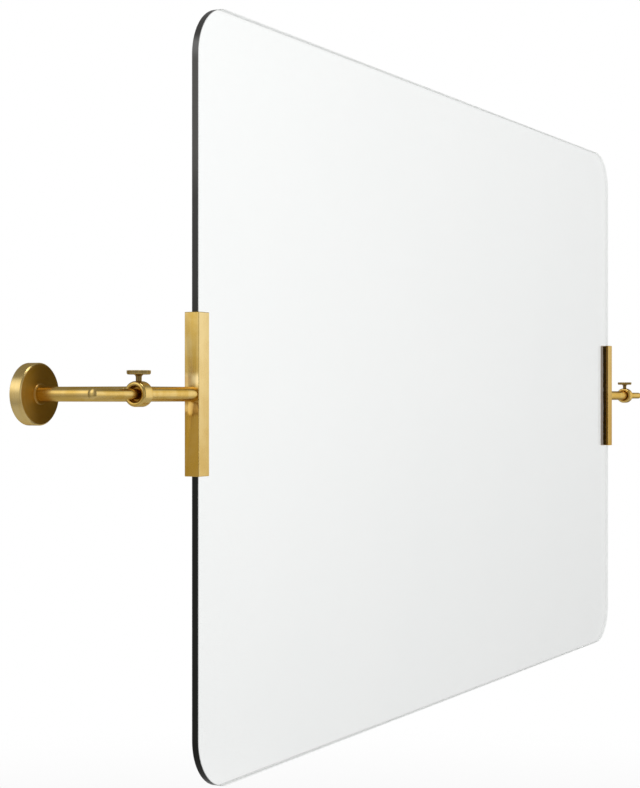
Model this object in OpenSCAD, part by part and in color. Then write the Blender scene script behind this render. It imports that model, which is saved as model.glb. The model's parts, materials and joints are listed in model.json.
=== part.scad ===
// Pivot wall mirror. A frameless glass with rounded corners is held at its two
// sides by slotted brass bars. A rod on each bar turns in a ring at the end of
// a wall arm, and a thumb screw on top of the ring holds the tilt.
// Millimetres. X runs along the wall, Y runs into it and Z is up. The origin
// lies on the wall, midway between the two arms, level with the pivot axis.

/* [Glass] */
// Width of the glass
glass_w = 960; // [500:5:1200]
// Height of the glass
glass_h = 610; // [450:5:900]
// Thickness of the glass
glass_t = 6; // [4:0.5:8]
// Radius of the glass corners
corner_r = 42; // [15:1:100]
// Width of the ground arris along each glass edge
arris = 0.3; // [0.2:0.1:1.5]
// Thickness of the paint and safety film behind the silvering
film_t = 0.3; // [0.2:0.1:1]
// How far the film stops short of the glass edge
film_inset = 1.5; // [1:0.5:5]

/* [Pivot axis] */
// Wall to the pivot axis
axis_reach = 100; // [80:0.5:160]
// Pivot axis above the middle of the glass
axis_rise = 2.5; // [0:0.5:20]
// Glass edge to the middle of the ring
side_gap = 75; // [50:0.1:120]
// Radial clearance of the rod in the ring
pivot_clear = 0.05; // [0.02:0.01:0.08]

/* [Clamp bar] */
// Length of the bar
bar_len = 126; // [90:1:200]
// How far the bar stands out past the glass edge
bar_out = 4.5; // [3.5:0.1:8]
// How far the lips reach over the glass
bar_lap = 10.3; // [8:0.1:20]
// Thickness of the front lip and of the back lip
lip_t = 2.9; // [2.2:0.1:5]
// Broken edges of the bar
bar_edge = 0.4; // [0.2:0.1:0.8]
// Thickness of the liner between bar and glass
liner_t = 0.5; // [0.3:0.1:1]
// How far the liner stops short of the bar's ends and lip edges
liner_short = 0.5; // [0.2:0.1:1.5]
// Thread of the set screws in the back lip
set_d = 4; // [3:0.5:5]
// Key size of the set screws
set_key = 2; // [1.3:0.1:2]
// Number of set screws in a bar
set_count = 3; // [2:1:5]
// Bar end to its nearest set screw
set_end = 19; // [8:1:30]

/* [Pivot rod] */
// Diameter of the pivot rod and of the wall post
rod_d = 11.2; // [9:0.1:14]
// Diameter of the rod's thin free end
tail_d = 7.8; // [5:0.1:8.5]
// Ring middle to the tip of the free end
tail_reach = 58; // [30:0.5:80]
// Height of the dome on the free end
tail_dome = 1.4; // [0.4:0.1:2.4]
// How far the thick part runs on past the clamp tip
shoulder_lap = 0.4; // [0.2:0.1:2]
// Thread of the rod in the bar
spigot_d = 6; // [4:0.5:8]

/* [Ring] */
// Wall of the ring round its bore
ring_wall = 3.75; // [3:0.05:6]
// Length of the ring along the pivot axis
ring_len = 12; // [10:0.1:16]
// Length of the neck between ring and post
neck_len = 2; // [1:0.1:6]
// Metal left between the neck's thread and the bore
neck_floor = 1.5; // [1:0.1:2.5]

/* [Wall post] */
// Thread of the stud between post and ring
stud_d = 6; // [4:0.5:7]
// Depth of the stud in the post
stud_depth = 8; // [5:0.5:20]
// Thread of the screw between flange and post
post_screw_d = 6; // [4:0.5:7]
// Length of that screw under its head
post_screw_len = 12; // [8:0.5:25]
// Diameter of its head
post_head_d = 10; // [8.5:0.5:12]
// Height of its head
post_head_h = 3.5; // [2:0.1:5]
// Key size of that screw
post_key = 4; // [2:0.5:5]

/* [Flange] */
// Diameter of the flange
flange_d = 47.4; // [44:0.1:70]
// Depth of the flange from the wall
flange_t = 10.5; // [9.5:0.1:18]
// Chamfer round the flange's front
flange_edge = 1; // [0.3:0.1:2]
// Diameter of the raised boss that the post stands on
boss_d = 15.5; // [15:0.1:20]
// Height of that boss
boss_t = 1; // [0.3:0.1:2]
// Thickness of the flange's rim
rim_t = 2.5; // [2:0.1:4]
// Thickness of the flange's face
face_t = 3; // [2.5:0.1:4.5]
// Thread of the flange's grub screw
grub_d = 4; // [3:0.5:4.5]
// Key size of the grub screw
grub_key = 2; // [1.3:0.1:2]
// Height of the grub screw over the wall
grub_up = 2.8; // [2.6:0.1:3.2]
// How far the grub screw lies below the rim
grub_sink = 0.4; // [0.1:0.1:1]

/* [Wall plate] */
// Thickness of the wall plate
plate_t = 4.5; // [4:0.1:5.5]
// Radial gap between plate and flange
plate_gap = 0.25; // [0.1:0.05:0.8]
// How far the plate's edge tapers in towards the wall
plate_draft = 1.2; // [0.4:0.1:2]
// Clear hole for the post screw's head
plate_hole_d = 12.6; // [12.4:0.1:14]
// Diameter of the holes for the wall screws
wall_hole_d = 5; // [3:0.1:6]
// Spacing of the two wall screws
wall_hole_pitch = 26; // [24:0.5:30]

/* [Thumb screw] */
// Diameter of the wheel
wheel_d = 17.6; // [12:0.1:24]
// Thickness of the wheel
wheel_t = 3.1; // [2:0.1:5]
// Chamfer under the wheel's rim
wheel_edge = 0.8; // [0.2:0.1:1.2]
// Number of flutes round the wheel
flute_count = 18; // [8:1:22]
// Radius of a flute
flute_r = 1.1; // [0.7:0.1:1.1]
// Depth of a flute
flute_depth = 0.5; // [0.2:0.1:0.6]
// Ring top to the wheel's underside
wheel_lift = 4.8; // [3.5:0.1:8]
// Diameter of the stem under the wheel
stem_d = 4.4; // [3:0.1:4.6]
// Fillet where the stem meets the wheel
stem_fillet = 2; // [0.5:0.1:3]
// Thread of the thumb screw
screw_d = 5; // [5:0.5:6]
// Diameter of the nose that turns in the clamp tip
nose_d = 2; // [1.5:0.1:2.4]
// Depth of the nose in the clamp tip
nose_depth = 0.6; // [0.3:0.1:0.8]
// Diameter of the clamp tip
tip_d = 3.8; // [3.4:0.1:4.2]
// Height of the clamp tip over the rod
tip_t = 1; // [0.9:0.1:1.2]
// Gap between the clamp tip and the rod
tip_gap = 0.15; // [0.1:0.01:0.3]

/* [Fits] */
// Radial gap of a thread in its hole, both drawn plain
thread_gap = 0.05; // [0.02:0.01:0.08]
// Radial gap of a screw in a clear hole
clear_gap = 0.2; // [0.1:0.05:0.4]
// Gap at the bottom of a blind hole
end_gap = 0.2; // [0.1:0.05:0.5]

/* [Hidden] */
// Overshoot of cutting shapes
cut = 1;
$fn = 96;

// The arms stand where the rings are.
ring_x = glass_w / 2 + side_gap;
// The slot takes the glass, its film and the liner on both faces.
stack_t = glass_t + film_t;
slot_w = stack_t + 2 * liner_t;
bar_depth = slot_w + 2 * lip_t;
web_t = bar_out - liner_t;
bar_w = bar_out + bar_lap;
set_pitch = (bar_len - 2 * set_end) / (set_count - 1);

bore_r = rod_d / 2 + pivot_clear;
ring_r = bore_r + ring_wall;
shoulder_past = tip_d / 2 + shoulder_lap;
neck_end = ring_r + neck_len;
neck_root = bore_r + ring_wall / 4;
stud_floor = bore_r + neck_floor;

post_start = flange_t + boss_t;
post_end = axis_reach - neck_end;
cup_floor = flange_t - face_t;
cup_r = flange_d / 2 - rim_t;
plate_r = cup_r - plate_gap;

tip_top = rod_d / 2 + tip_gap + tip_t;
screw_foot = tip_top + thread_gap;
wheel_foot = ring_r + wheel_lift;

brass = "#c8a45a";
steel = "#b9bcc0";
black = "#2c2b2a";
nylon = "#e6e2d6";
silver = "#e9edef";
grey = "#8b8f92";

// ---- Frames: an arm's own frame has the middle of its ring at x = 0 and the
// glass on its +X side. ----

module left() translate([-ring_x, 0, 0]) children();
module right() mirror([1, 0, 0]) left() children();

// Z of the children points from the wall into the room.
module from_wall() rotate([90, 0, 0]) children();

// The children's origin moves out from the wall to the pivot axis.
module on_axis() translate([0, -axis_reach, 0]) children();

// Z of the children points along the pivot axis, towards the glass.
module along_axis() on_axis() rotate([0, 90, 0]) children();

// The glass is drawn lying down and stood up behind the front lips.
module upright(front)
    translate([0, front - axis_reach, -axis_rise]) rotate([90, 0, 0]) children();

// ---- Shapes used by several pieces ----

module chamfered_rect(a, b, edge) {
    x = a / 2;
    y = b / 2;
    polygon([
        [x - edge, -y], [x, -y + edge], [x, y - edge], [x - edge, y],
        [edge - x, y], [-x, y - edge], [-x, -y + edge], [edge - x, -y]
    ]);
}

// A rectangle with broken edges on all twelve sides
module chamfered_block(a, b, c, edge)
    intersection() {
        linear_extrude(c, center = true) chamfered_rect(a, b, edge);
        rotate([90, 0, 0]) linear_extrude(b, center = true) chamfered_rect(a, c, edge);
        rotate([90, 0, 90]) linear_extrude(a, center = true) chamfered_rect(b, c, edge);
    }

// A disc whose two rims are chamfered
module chamfered_disc(r, t, edge)
    rotate_extrude()
        polygon([
            [0, -t / 2], [r - edge, -t / 2], [r, edge - t / 2],
            [r, t / 2 - edge], [r - edge, t / 2], [0, t / 2]
        ]);

module at_corners(w, h, r)
    for (x = [-1, 1], y = [-1, 1])
        translate([x * (w / 2 - r), y * (h / 2 - r), 0]) children();

module key_socket(key, depth)
    cylinder(d = key / cos(30), h = depth + cut, $fn = 6);

// ---- The glass and what is on its back ----

module mirror_glass()
    color(silver) upright(-stack_t / 2 + glass_t / 2) {
        rotate([90, 0, 90])
            linear_extrude(glass_w - 2 * corner_r, center = true)
                chamfered_rect(glass_h, glass_t, arris);
        rotate([90, 0, 0])
            linear_extrude(glass_h - 2 * corner_r, center = true)
                chamfered_rect(glass_w, glass_t, arris);
        at_corners(glass_w, glass_h, corner_r) chamfered_disc(corner_r, glass_t, arris);
    }

module back_film() {
    w = glass_w - 2 * film_inset;
    h = glass_h - 2 * film_inset;
    r = corner_r - film_inset;
    color(grey) upright(stack_t / 2) linear_extrude(film_t) {
        square([w - 2 * r, h], center = true);
        square([w, h - 2 * r], center = true);
        at_corners(w, h, r) circle(r);
    }
}

// ---- The bar that grips the side of the glass ----

module set_screw_places()
    for (i = [0:set_count - 1])
        translate([side_gap + bar_lap / 2, 0, set_end - bar_len / 2 + i * set_pitch])
            rotate([-90, 0, 0]) children();

module clamp_bar()
    color(brass) difference() {
        on_axis() translate([side_gap - bar_out + bar_w / 2, 0, 0])
            chamfered_block(bar_w, bar_depth, bar_len, bar_edge);
        on_axis() translate([side_gap - liner_t, -slot_w / 2, -bar_len / 2 - cut])
            cube([bar_w, slot_w, bar_len + 2 * cut]);
        along_axis() translate([0, 0, side_gap - bar_out - cut])
            cylinder(d = spigot_d, h = web_t + 2 * cut);
        on_axis() set_screw_places() cylinder(d = set_d, h = bar_depth);
    }

module bar_liner()
    color(black) on_axis() difference() {
        translate([side_gap - liner_t, -slot_w / 2, liner_short - bar_len / 2])
            cube([bar_lap + liner_t - liner_short, slot_w, bar_len - 2 * liner_short]);
        translate([side_gap, -stack_t / 2, -bar_len / 2])
            cube([bar_lap, stack_t, bar_len]);
    }

// They press on the liner through the back lip.
module bar_set_screws()
    color(steel) on_axis() set_screw_places() translate([0, 0, slot_w / 2])
        difference() {
            cylinder(r = set_d / 2 - thread_gap, h = lip_t - bar_edge);
            translate([0, 0, lip_t / 2]) key_socket(set_key, lip_t / 2);
        }

// ---- The rod that turns in the ring ----

module pivot_rod() {
    tail_r = tail_d / 2;
    dome_r = (tail_r * tail_r + tail_dome * tail_dome) / (2 * tail_dome);
    color(brass) along_axis() {
        translate([0, 0, -tail_reach]) rotate_extrude() intersection() {
            square([tail_r, tail_reach]);
            union() {
                translate([0, dome_r]) circle(dome_r);
                translate([0, tail_dome]) square([tail_r, tail_reach]);
            }
        }
        translate([0, 0, -shoulder_past])
            cylinder(d = rod_d, h = shoulder_past + side_gap - bar_out);
        translate([0, 0, side_gap - bar_out])
            cylinder(r = spigot_d / 2 - thread_gap, h = web_t - end_gap);
    }
}

// ---- The wall arm ----

// Cross-section of the ring's body, whose two ends are fully rounded
module ring_section() {
    straight = ring_len - ring_wall;
    translate([bore_r, -straight / 2]) square([ring_wall, straight]);
    for (side = [-1, 1])
        translate([bore_r + ring_wall / 2, side * straight / 2]) circle(d = ring_wall);
}

module ring()
    color(brass) difference() {
        union() {
            along_axis() rotate_extrude() ring_section();
            from_wall() translate([0, 0, axis_reach - neck_end])
                cylinder(d = rod_d, h = neck_end - neck_root);
        }
        from_wall() translate([0, 0, axis_reach - neck_end - cut])
            cylinder(d = stud_d, h = neck_end - stud_floor + cut);
        on_axis() cylinder(d = screw_d, h = ring_r + cut);
    }

module post_stud()
    color(steel) from_wall() translate([0, 0, post_end - stud_depth + end_gap])
        cylinder(r = stud_d / 2 - thread_gap,
            h = stud_depth + neck_end - stud_floor - 2 * end_gap);

module post()
    color(brass) from_wall() difference() {
        translate([0, 0, post_start]) cylinder(d = rod_d, h = post_end - post_start);
        translate([0, 0, post_end - stud_depth])
            cylinder(d = stud_d, h = stud_depth + cut);
        translate([0, 0, post_start - cut])
            cylinder(d = post_screw_d,
                h = cut + cup_floor + post_screw_len + end_gap - post_start);
    }

module post_screw()
    color(steel) from_wall() difference() {
        union() {
            translate([0, 0, cup_floor - post_head_h])
                cylinder(d = post_head_d, h = post_head_h);
            translate([0, 0, cup_floor])
                cylinder(r = post_screw_d / 2 - thread_gap, h = post_screw_len);
        }
        translate([0, 0, cup_floor - post_head_h - cut])
            key_socket(post_key, post_head_h / 2);
    }

module flange()
    color(brass) difference() {
        from_wall() rotate_extrude() polygon([
            [cup_r, 0], [flange_d / 2, 0], [flange_d / 2, flange_t - flange_edge],
            [flange_d / 2 - flange_edge, flange_t], [boss_d / 2, flange_t],
            [boss_d / 2, post_start], [post_screw_d / 2 + clear_gap, post_start],
            [post_screw_d / 2 + clear_gap, cup_floor], [cup_r, cup_floor]
        ]);
        translate([0, -grub_up, -flange_d / 2 - cut])
            cylinder(d = grub_d, h = rim_t + 2 * cut);
    }

// Radius of the plate's tapered edge at a height over the wall
function plate_r_at(height) = plate_r - plate_draft * (1 - height / plate_t);

module wall_plate()
    color(steel) from_wall() difference() {
        cylinder(r1 = plate_r_at(0), r2 = plate_r, h = plate_t);
        translate([0, 0, -cut]) cylinder(d = plate_hole_d, h = plate_t + 2 * cut);
        for (side = [-1, 1])
            translate([0, side * wall_hole_pitch / 2, -cut])
                cylinder(d = wall_hole_d, h = plate_t + 2 * cut);
    }

// It draws the flange to the wall by the plate's tapered edge.
module grub_screw() {
    point_r = grub_d / 4;
    point_h = grub_d / 4;
    seat = plate_r_at(min(grub_up + point_r, plate_t)) + thread_gap;
    foot = flange_d / 2 - grub_sink;
    color(steel) translate([0, -grub_up, -foot]) difference() {
        union() {
            cylinder(r = grub_d / 2 - thread_gap, h = foot - seat - point_h);
            translate([0, 0, foot - seat - point_h])
                cylinder(r1 = grub_d / 2 - thread_gap, r2 = point_r, h = point_h);
        }
        translate([0, 0, -cut]) key_socket(grub_key, (foot - seat) / 2);
    }
}

// ---- The thumb screw and its tip ----

module thumb_screw() {
    wheel_r = wheel_d / 2;
    stem_r = stem_d / 2;
    color(brass) on_axis() difference() {
        union() {
            translate([0, 0, screw_foot - nose_depth])
                cylinder(d = nose_d, h = nose_depth);
            translate([0, 0, screw_foot])
                cylinder(r = screw_d / 2 - thread_gap, h = ring_r - screw_foot);
            translate([0, 0, ring_r]) cylinder(r = stem_r, h = wheel_lift);
            translate([0, 0, wheel_foot - stem_fillet]) rotate_extrude() difference() {
                square([stem_r + stem_fillet, stem_fillet]);
                translate([stem_r + stem_fillet, 0]) circle(stem_fillet);
            }
            translate([0, 0, wheel_foot])
                cylinder(r1 = wheel_r - wheel_edge, r2 = wheel_r, h = wheel_edge);
            translate([0, 0, wheel_foot + wheel_edge])
                cylinder(r = wheel_r, h = wheel_t - wheel_edge);
        }
        for (i = [0:flute_count - 1])
            rotate([0, 0, i * 360 / flute_count])
                translate([wheel_r + flute_r - flute_depth, 0, wheel_foot - cut])
                    cylinder(r = flute_r, h = wheel_t + 2 * cut, $fn = 24);
    }
}

// Its saddle fits the rod, so that it holds without marking the brass.
module clamp_tip() {
    saddle_r = rod_d / 2 + tip_gap;
    color(nylon) difference() {
        on_axis() translate([0, 0, saddle_r - tip_t])
            cylinder(d = tip_d, h = tip_top - saddle_r + tip_t);
        along_axis() cylinder(r = saddle_r, h = tip_d + cut, center = true);
        on_axis() translate([0, 0, screw_foot - nose_depth - thread_gap])
            cylinder(r = nose_d / 2 + thread_gap, h = nose_depth + cut);
    }
}

// ---- Both sides ----

module left_clamp_bar() left() clamp_bar();
module left_bar_liner() left() bar_liner();
module left_bar_set_screws() left() bar_set_screws();
module left_pivot_rod() left() pivot_rod();
module left_ring() left() ring();
module left_post_stud() left() post_stud();
module left_post() left() post();
module left_flange() left() flange();
module left_post_screw() left() post_screw();
module left_grub_screw() left() grub_screw();
module left_wall_plate() left() wall_plate();
module left_thumb_screw() left() thumb_screw();
module left_clamp_tip() left() clamp_tip();

module right_clamp_bar() right() clamp_bar();
module right_bar_liner() right() bar_liner();
module right_bar_set_screws() right() bar_set_screws();
module right_pivot_rod() right() pivot_rod();
module right_ring() right() ring();
module right_post_stud() right() post_stud();
module right_post() right() post();
module right_flange() right() flange();
module right_post_screw() right() post_screw();
module right_grub_screw() right() grub_screw();
module right_wall_plate() right() wall_plate();
module right_thumb_screw() right() thumb_screw();
module right_clamp_tip() right() clamp_tip();

mirror_glass();
back_film();

left_clamp_bar();
left_bar_liner();
left_bar_set_screws();
left_pivot_rod();
left_ring();
left_post_stud();
left_post();
left_flange();
left_post_screw();
left_grub_screw();
left_wall_plate();
left_thumb_screw();
left_clamp_tip();

right_clamp_bar();
right_bar_liner();
right_bar_set_screws();
right_pivot_rod();
right_ring();
right_post_stud();
right_post();
right_flange();
right_post_screw();
right_grub_screw();
right_wall_plate();
right_thumb_screw();
right_clamp_tip();
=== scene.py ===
import json
import math

import bmesh
import bpy
import numpy as np
from mathutils import Matrix, Vector


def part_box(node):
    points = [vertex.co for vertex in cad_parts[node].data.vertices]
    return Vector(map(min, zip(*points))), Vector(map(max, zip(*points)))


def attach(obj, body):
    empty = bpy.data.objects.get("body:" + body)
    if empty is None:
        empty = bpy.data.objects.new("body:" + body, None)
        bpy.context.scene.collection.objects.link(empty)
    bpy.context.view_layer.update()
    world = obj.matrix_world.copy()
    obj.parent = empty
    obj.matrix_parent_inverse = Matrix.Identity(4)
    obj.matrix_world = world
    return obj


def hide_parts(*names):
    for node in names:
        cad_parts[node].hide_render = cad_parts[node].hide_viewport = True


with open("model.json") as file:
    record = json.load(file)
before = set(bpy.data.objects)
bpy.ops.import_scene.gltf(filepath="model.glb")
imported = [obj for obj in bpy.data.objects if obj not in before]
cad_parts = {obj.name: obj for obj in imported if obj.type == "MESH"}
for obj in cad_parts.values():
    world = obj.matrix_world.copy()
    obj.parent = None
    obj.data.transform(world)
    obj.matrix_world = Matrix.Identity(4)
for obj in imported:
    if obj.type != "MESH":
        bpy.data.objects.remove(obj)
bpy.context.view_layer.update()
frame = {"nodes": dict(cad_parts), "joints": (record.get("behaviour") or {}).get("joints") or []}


# ---- Camera ----
# The photograph looks from the left, level with the middle of the glass and from close
# by, so that the far side of the mirror looks two fifths smaller than the near one.

VIEW_AZIMUTH = math.radians(61.44)
CAMERA_LEFT = 1.560
CAMERA_OUT = 0.797
PICTURE_HEIGHT = 788
FOCAL_PIXELS = 1673
HORIZON_DROP_PIXELS = 3.5
SENSOR = 36

glass_low, glass_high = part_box("mirror_glass")
glass_middle = (glass_low + glass_high) / 2
camera_data = bpy.data.cameras.new("camera")
camera_data.sensor_width = SENSOR
camera_data.lens = SENSOR * FOCAL_PIXELS / PICTURE_HEIGHT
camera_data.shift_y = HORIZON_DROP_PIXELS / PICTURE_HEIGHT
camera = bpy.data.objects.new("camera", camera_data)
camera.location = (-CAMERA_LEFT, -CAMERA_OUT, glass_middle.z)
camera.rotation_euler = (math.pi / 2, 0, -VIEW_AZIMUTH)
bpy.context.scene.collection.objects.link(camera)
bpy.context.scene.camera = camera
bpy.context.scene.view_settings.view_transform = "Standard"


# ---- Studio ----
# A grey tent with a wide white card at the front right, a fill card at the front left
# and a lamp in a wide glow at the back left. A disc lamp hangs over a pale floor. The
# camera itself sees plain white all round.


class Socket:
    """A node's output. Python's arithmetic on it adds one Math node for each step."""

    def __init__(self, tree, link):
        self.tree = tree
        self.link = link

    def maths(self, operation, *others):
        return self.tree.node("ShaderNodeMath", {"operation": operation}, (self, *others))

    def __add__(self, other):
        return self.maths("ADD", other)

    def __sub__(self, other):
        return self.maths("SUBTRACT", other)

    def __rsub__(self, other):
        return -self + other

    def __mul__(self, other):
        return self.maths("MULTIPLY", other)

    def __truediv__(self, other):
        return self.maths("DIVIDE", other)

    def __neg__(self):
        return self * -1

    def __abs__(self):
        return self.maths("ABSOLUTE")

    __radd__ = __add__
    __rmul__ = __mul__

    def ramp(self, low, high):
        """Rises smoothly from 0 at low to 1 at high, or falls if low is the larger."""
        start, end, values = (low, high, (0, 1)) if low < high else (high, low, (1, 0))
        inputs = {"Value": self, "From Min": start, "From Max": end,
                  "To Min": values[0], "To Max": values[1]}
        return self.tree.node("ShaderNodeMapRange", {"interpolation_type": "SMOOTHSTEP"}, inputs)


class Tree:
    """The nodes of a material, of the world or of a Geometry Nodes group."""

    def __init__(self, node_tree):
        self.nodes = node_tree.nodes
        self.links = node_tree.links
        self.coordinates = None
        self.nodes.clear()

    def node(self, kind, settings=(), inputs=(), output=0):
        """Adds a node, sets it up, fills its sockets and returns one of its outputs."""
        made = self.nodes.new(kind)
        for name, value in dict(settings).items():
            setattr(made, name, value)
        pairs = inputs.items() if isinstance(inputs, dict) else enumerate(inputs)
        for key, value in pairs:
            if isinstance(value, Socket):
                self.links.new(value.link, made.inputs[key])
            elif value is not None:
                made.inputs[key].default_value = value
        return Socket(self, made.outputs[output]) if made.outputs else None

    def mix(self, factor, first, second):
        """One colour turning into another."""
        colours = [c if isinstance(c, Socket) else (*c, 1) for c in (first, second)]
        inputs = {0: factor, 6: colours[0], 7: colours[1]}
        return self.node("ShaderNodeMix", {"data_type": "RGBA"}, inputs, 2)

    def axes(self, vector):
        return [self.node("ShaderNodeSeparateXYZ", (), (vector,), axis) for axis in range(3)]

    def vector(self, x, y, z):
        return self.node("ShaderNodeCombineXYZ", (), (x, y, z))

    def places(self):
        """The three object coordinates of a point on the surface."""
        if self.coordinates is None:
            self.coordinates = self.axes(self.node("ShaderNodeTexCoord", (), (), "Object"))
        return self.coordinates

    def noise(self, x_scale, y_scale, z_scale, detail, roughness=0.5):
        """Noise over the surface, finer along an axis the larger its scale is."""
        x, y, z = self.places()
        stretched = self.vector(x * x_scale, y * y_scale, z * z_scale)
        inputs = {"Vector": stretched, "Scale": 1, "Detail": detail, "Roughness": roughness}
        return self.node("ShaderNodeTexNoise", (), inputs)

    def bump(self, strength, depth, height, under=None):
        """A bumpy normal, on top of another one where that is given."""
        inputs = {"Strength": strength, "Distance": depth, "Height": height, "Normal": under}
        return self.node("ShaderNodeBump", (), inputs)

    def is_ray(self, *kinds):
        """1 for a ray of any of these kinds."""
        rays = [self.node("ShaderNodeLightPath", (), (), kind) for kind in kinds]
        found = rays[0]
        for ray in rays[1:]:
            found = found.maths("MAXIMUM", ray)
        return found


TENT = 0.34
DIMMER_BELOW = 0.16
CARD = 0.84
CARD_TOWARDS = Vector((0.88, -0.46, 0.0)).normalized()
CARD_EDGE = (0.80, 0.95)
CARD_LIFT = 0.38
CARD_TURN = 0.76
FILL = 0.36
FILL_TOWARDS = Vector((-0.48, -0.87, 0.05)).normalized()
FILL_EDGE = (0.82, 0.97)
LAMP = 0.95
LAMP_TOWARDS = Vector((-0.72, 0.46, 0.50)).normalized()
LAMP_EDGE = (0.88, 0.985)
GLOW = 0.42
GLOW_TOWARDS = Vector((-0.88, 0.47, 0.16)).normalized()
GLOW_EDGE = (0.70, 0.99)

world = bpy.data.worlds.new("studio")
world.use_nodes = True
bpy.context.scene.world = world
sky = Tree(world.node_tree)
towards = sky.node("ShaderNodeTexCoord", (), (), "Generated")
to_x, to_y, to_z = sky.axes(towards)


def facing(direction):
    """1 straight towards a direction of the sky, 0 across it."""
    return to_x * direction.x + to_y * direction.y + to_z * direction.z


card_tone = 1 + to_z * CARD_LIFT - (to_y - CARD_TOWARDS.y) * CARD_TURN
card = facing(CARD_TOWARDS).ramp(*CARD_EDGE) * card_tone * CARD
fill = facing(FILL_TOWARDS).ramp(*FILL_EDGE) * FILL
lamp = facing(LAMP_TOWARDS).ramp(*LAMP_EDGE) * LAMP
glow = facing(GLOW_TOWARDS).ramp(*GLOW_EDGE) * GLOW
tent = card + lamp + glow + fill + to_z.maths("MINIMUM", 0) * DIMMER_BELOW + TENT
light = sky.node("ShaderNodeBackground", (), {"Strength": tent})
white = sky.node("ShaderNodeBackground", (), {"Color": (1, 1, 1, 1), "Strength": 1})
shown = sky.node("ShaderNodeMixShader", (), (sky.is_ray("Is Camera Ray"), light, white))
sky.node("ShaderNodeOutputWorld", (), (shown,))

FLOOR_DROP = 1.0
FLOOR_RADIUS = 3.4
FLOOR_SEGMENTS = 96
FLOOR_COLOUR = (0.82, 0.82, 0.82, 1)
FLOOR_FADE = 0.45
FLOOR_GLOW = 0.85
FLOOR_GLEAM = 0.2
TOP_LAMP_AT = Vector((-0.5, -0.6, 2.2))
TOP_LAMP_SIZE = 1.2
TOP_LAMP_POWER = 14


def off_axis(across, along):
    """How far a point lies from an axis, from its two offsets."""
    return (across * across + along * along).maths("SQRT")


floor_mesh = bpy.data.meshes.new("floor")
disc = bmesh.new()
bmesh.ops.create_circle(disc, cap_ends=True, segments=FLOOR_SEGMENTS, radius=FLOOR_RADIUS)
bmesh.ops.translate(disc, verts=disc.verts, vec=(0, 0, -FLOOR_DROP))
disc.to_mesh(floor_mesh)
disc.free()
floor = bpy.data.objects.new("floor", floor_mesh)
bpy.context.scene.collection.objects.link(floor)
pale_floor = bpy.data.materials.new("pale_floor")
pale_floor.use_nodes = True
paint = Tree(pale_floor.node_tree)
floor_x, floor_y, _ = paint.places()
far = off_axis(floor_x, floor_y).ramp(FLOOR_FADE * FLOOR_RADIUS, FLOOR_RADIUS)
pale = paint.node("ShaderNodeBsdfDiffuse", (), {"Color": FLOOR_COLOUR})
shining = paint.node("ShaderNodeEmission", (), {"Strength": 1})
share = (paint.is_ray("Is Camera Ray", "Is Transmission Ray") * FLOOR_GLOW
         + paint.is_ray("Is Glossy Ray") * FLOOR_GLEAM)
lit = paint.node("ShaderNodeMixShader", (), (share, pale, shining))
nothing = paint.node("ShaderNodeBsdfTransparent")
faded = paint.node("ShaderNodeMixShader", (), (far, lit, nothing))
paint.node("ShaderNodeOutputMaterial", (), (faded,))
floor_mesh.materials.append(pale_floor)

lamp_data = bpy.data.lights.new("top_lamp", "AREA")
lamp_data.shape = "DISK"
lamp_data.size = TOP_LAMP_SIZE
lamp_data.energy = TOP_LAMP_POWER
top_lamp = bpy.data.objects.new("top_lamp", lamp_data)
top_lamp.location = TOP_LAMP_AT
top_lamp.rotation_euler = (-TOP_LAMP_AT).to_track_quat("-Z", "Y").to_euler()
bpy.context.scene.collection.objects.link(top_lamp)


# ---- Mirror glass ----
# One sheet of 6 mm float glass with rounded corners, cut, ground and arrissed all
# round. Silver on its back shows the room in its face. The ground edge is painted
# nearly black and paler towards its top, as painted shade and painted reflection,
# and a thin strip inside it glows as painted light.

MM = 0.001
SMOOTH_UP_TO = math.radians(32)
CORNER = 42 * MM
CORNER_STEPS = 32
ARRIS = 0.3 * MM
GROUND_SKIN = (0.01 * MM, 0.04 * MM)
SIDE_FACE = (0.90 * ARRIS, 0.99 * ARRIS)
GLASS_COLOUR = (0.985, 0.995, 0.99, 1)
GLASS_IOR = 1.52
ARRIS_GREY = (0.90, 0.91, 0.90)
# Painted shade and painted reflection: the ground edge's four tones, darkest low down and paler towards
# the top.
EDGE_DEEP = (0.008, 0.008, 0.005)
EDGE_SHADE = (0.072, 0.070, 0.067)
EDGE_PALE = (0.140, 0.135, 0.125)
EDGE_LIGHT = (0.225, 0.222, 0.216)
# The heights, in metres above the pivot, between which one tone of the edge turns
# into the next, and how far noise moves the lower two.
DEEP_TO_SHADE = (-0.06, 0.19)
SHADE_TO_PALE = (0.17, 0.22)
PALE_TO_LIGHT = (0.255, 0.265)
LIGHT_TO_SHADE = (0.269, 0.277)
EDGE_DRIFT = 0.06
EDGE_GLOSS = 0.25
SILVER = (0.965, 0.968, 0.965)
SILVER_HAZE = (0.955, 0.960, 0.958)
SILVER_INSET = 0.3 * MM
SILVER_AHEAD = 0.02 * MM
# The inside strip's pale frosted colours, and its glow, which is painted light.
INSIDE_LIGHT = (0.95, 0.96, 0.95)
INSIDE_DULL = (0.85, 0.86, 0.85)
INSIDE_PAINTED_GLOW = 0.60
INSIDE_INSET = 0.03 * MM


def finish(name):
    """A new material with an empty node tree."""
    made = bpy.data.materials.new(name)
    made.use_nodes = True
    return made, Tree(made.node_tree)


def surface(tree, inputs, top=None, share=0):
    """Ends a material with a Principled shader, under a second shader where share is 1."""
    shader = tree.node("ShaderNodeBsdfPrincipled", (), inputs)
    if top:
        cover = tree.node("ShaderNodeBsdfPrincipled", (), top)
        shader = tree.node("ShaderNodeMixShader", (), (share, shader, cover))
    tree.node("ShaderNodeOutputMaterial", (), (shader,))


def seat(piece, body, slot, *nodes):
    """The piece moves with a body and stands for CAD nodes, which it hides. The slot is not used."""
    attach(piece, body)
    if nodes:
        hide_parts(*nodes)


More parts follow.
